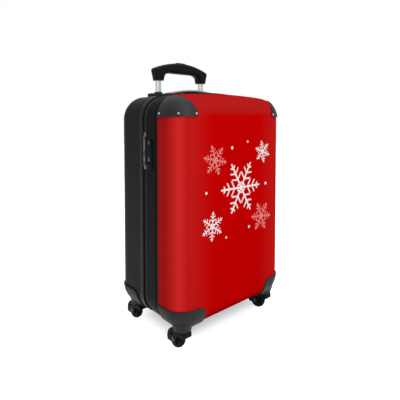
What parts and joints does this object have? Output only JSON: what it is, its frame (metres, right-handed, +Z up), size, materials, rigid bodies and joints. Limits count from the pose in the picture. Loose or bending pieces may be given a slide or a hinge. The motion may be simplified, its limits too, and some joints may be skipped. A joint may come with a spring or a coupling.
{
  "type": "hard shell suitcase",
  "caption": "Hard shell cabin suitcase that opens like a book, with a telescopic pull handle, swivelling casters, a zip closure and a dial lock on one side.",
  "frame": {"origin": "on the floor under the middle of the bounding box", "axes": "+Z up, the front of the case faces -Y, X across the width"},
  "size_m": [0.3516, 0.2434, 0.6385],
  "materials": {
    "shell_black": "fine grain",
    "trim_black": "satin",
    "zip_cloth": "woven",
    "guard_grey": "cross-hatched grain",
    "rivet_steel": "bright",
    "pin_steel": "satin",
    "plastic_black": "fine grain",
    "tube_aluminium": "satin anodised",
    "lining_cloth": "plain weave",
    "webbing": "ribbed webbing",
    "shell_red": "gloss film",
    "lock_black": "satin",
    "lock_metal": "bright",
    "dial_black": "gloss",
    "zip_metal": "gunmetal",
    "grip_black": "soft touch",
    "caster_black": "satin",
    "tyre_black": "soft rubber"
  },
  "bodies": {
    "rear_case": {"rear_shell": "shell_black", "rear_edge_trim": "trim_black", "rear_zip_half": "zip_cloth", "hinge_tape": "zip_cloth", "rear_corner_left": "guard_grey", "rear_corner_right": "guard_grey", "rear_kingpins": "pin_steel", "handle_bezel": "plastic_black", "outer_tubes": "tube_aluminium", "handle_foot": "plastic_black", "rear_lining": "lining_cloth", "strap_webbing": "webbing", "strap_buckle": "plastic_black", "carry_mounts": "plastic_black"},
    "front_lid": {"front_shell": "shell_red", "front_piping": "trim_black", "front_frame": "trim_black", "front_zip_half": "zip_cloth", "upper_corner_left": "guard_grey", "upper_corner_right": "guard_grey", "lower_corner_left": "guard_grey", "lower_corner_right": "guard_grey", "front_kingpins": "pin_steel", "front_rivets": "rivet_steel", "front_lining": "lining_cloth", "lock_case": "lock_black", "lock_shaft": "pin_steel"},
    "carry_handle": {"carry_grip": "grip_black"},
    "handle_middle": {"middle_tubes": "tube_aluminium", "middle_collars": "plastic_black"},
    "handle_inner": {"inner_tubes": "tube_aluminium", "grip_body": "grip_black"},
    "handle_button": {"grip_button": "grip_black", "push_rods": "plastic_black"},
    "dial_1": {"lock_dial_1": "dial_black"},
    "dial_2": {"lock_dial_2": "dial_black"},
    "dial_3": {"lock_dial_3": "dial_black"},
    "release_slide": {"lock_release": "lock_metal"},
    "key_plug": {"lock_plug": "lock_metal"},
    "slider_upper": {"zip_slider_upper": "zip_metal"},
    "pull_upper": {"zip_pull_upper": "zip_metal"},
    "slider_lower": {"zip_slider_lower": "zip_metal"},
    "pull_lower": {"zip_pull_lower": "zip_metal"},
    "caster_front_left_swivel": {"caster_front_left_fork": "caster_black", "caster_front_left_axle": "pin_steel"},
    "caster_front_left_roll": {"caster_front_left_wheel": "caster_black", "caster_front_left_tyre": "tyre_black"},
    "caster_front_right_swivel": {"caster_front_right_fork": "caster_black", "caster_front_right_axle": "pin_steel"},
    "caster_front_right_roll": {"caster_front_right_wheel": "caster_black", "caster_front_right_tyre": "tyre_black"},
    "caster_rear_left_swivel": {"caster_rear_left_fork": "caster_black", "caster_rear_left_axle": "pin_steel"},
    "caster_rear_left_roll": {"caster_rear_left_wheel": "caster_black", "caster_rear_left_tyre": "tyre_black"},
    "caster_rear_right_swivel": {"caster_rear_right_fork": "caster_black", "caster_rear_right_axle": "pin_steel"},
    "caster_rear_right_roll": {"caster_rear_right_wheel": "caster_black", "caster_rear_right_tyre": "tyre_black"}
  },
  "joints": [
    {"name": "lid_hinge", "type": "hinge", "parent": "rear_case", "child": "front_lid", "pos_m": [0.1745, 0.00015, 0.298], "axis": [0, 0, 1], "range_deg": [0, 180]},
    {"name": "carry_lift", "type": "slide", "parent": "rear_case", "child": "carry_handle", "axis": [0, 0, 1], "range_m": [0, 0.011]},
    {"name": "handle_middle_slide", "type": "slide", "parent": "rear_case", "child": "handle_middle", "axis": [0, 0, 1], "range_m": [0, 0.185]},
    {"name": "handle_inner_slide", "type": "slide", "parent": "handle_middle", "child": "handle_inner", "axis": [0, 0, 1], "range_m": [-0.0288, 0.19]},
    {"name": "button_press", "type": "slide", "parent": "handle_inner", "child": "handle_button", "axis": [0, 0, -1], "range_m": [0, 0.004], "stiffness_N_per_m": 2500},
    {"name": "dial_1_spin", "type": "hinge", "parent": "front_lid", "child": "dial_1", "pos_m": [-0.1682, -0.0186, 0.4315], "axis": [0, 0, 1], "continuous": true},
    {"name": "dial_2_spin", "type": "hinge", "parent": "front_lid", "child": "dial_2", "pos_m": [-0.1682, -0.0186, 0.4245], "axis": [0, 0, 1], "continuous": true},
    {"name": "dial_3_spin", "type": "hinge", "parent": "front_lid", "child": "dial_3", "pos_m": [-0.1682, -0.0186, 0.4175], "axis": [0, 0, 1], "continuous": true},
    {"name": "release_press", "type": "slide", "parent": "front_lid", "child": "release_slide", "axis": [0, 0, -1], "range_m": [0, 0.004], "stiffness_N_per_m": 250},
    {"name": "key_turn", "type": "hinge", "parent": "front_lid", "child": "key_plug", "pos_m": [-0.173, -0.0186, 0.441], "axis": [-1, 0, 0], "range_deg": [0, 90]},
    {"name": "slider_upper_slide", "type": "slide", "parent": "rear_case", "child": "slider_upper", "axis": [0, 0, 1], "range_m": [0, 0.03]},
    {"name": "pull_upper_swing", "type": "hinge", "parent": "slider_upper", "child": "pull_upper", "pos_m": [-0.1722, 0.00015, 0.452], "axis": [0, 1, 0], "range_deg": [0, 110]},
    {"name": "slider_lower_slide", "type": "slide", "parent": "rear_case", "child": "slider_lower", "axis": [0, 0, 1], "range_m": [-0.27, 0]},
    {"name": "pull_lower_swing", "type": "hinge", "parent": "slider_lower", "child": "pull_lower", "pos_m": [-0.1722, 0.00015, 0.3925], "axis": [0, -1, 0], "range_deg": [0, 110]},
    {"name": "caster_front_left_turn", "type": "hinge", "parent": "front_lid", "child": "caster_front_left_swivel", "pos_m": [-0.1344, -0.0838, 0.04], "axis": [0, 0, 1], "continuous": true},
    {"name": "caster_front_left_spin", "type": "hinge", "parent": "caster_front_left_swivel", "child": "caster_front_left_roll", "pos_m": [-0.1344, -0.0673, 0.0205], "axis": [1, 0, 0], "continuous": true},
    {"name": "caster_front_right_turn", "type": "hinge", "parent": "front_lid", "child": "caster_front_right_swivel", "pos_m": [0.1344, -0.0838, 0.04], "axis": [0, 0, 1], "continuous": true},
    {"name": "caster_front_right_spin", "type": "hinge", "parent": "caster_front_right_swivel", "child": "caster_front_right_roll", "pos_m": [0.1344, -0.0673, 0.0205], "axis": [1, 0, 0], "continuous": true},
    {"name": "caster_rear_left_turn", "type": "hinge", "parent": "rear_case", "child": "caster_rear_left_swivel", "pos_m": [-0.1344, 0.0821, 0.04], "axis": [0, 0, 1], "continuous": true},
    {"name": "caster_rear_left_spin", "type": "hinge", "parent": "caster_rear_left_swivel", "child": "caster_rear_left_roll", "pos_m": [-0.1344, 0.0986, 0.0205], "axis": [1, 0, 0], "continuous": true},
    {"name": "caster_rear_right_turn", "type": "hinge", "parent": "rear_case", "child": "caster_rear_right_swivel", "pos_m": [0.1344, 0.0821, 0.04], "axis": [0, 0, 1], "continuous": true},
    {"name": "caster_rear_right_spin", "type": "hinge", "parent": "caster_rear_right_swivel", "child": "caster_rear_right_roll", "pos_m": [0.1344, 0.0986, 0.0205], "axis": [1, 0, 0], "continuous": true}
  ]
}
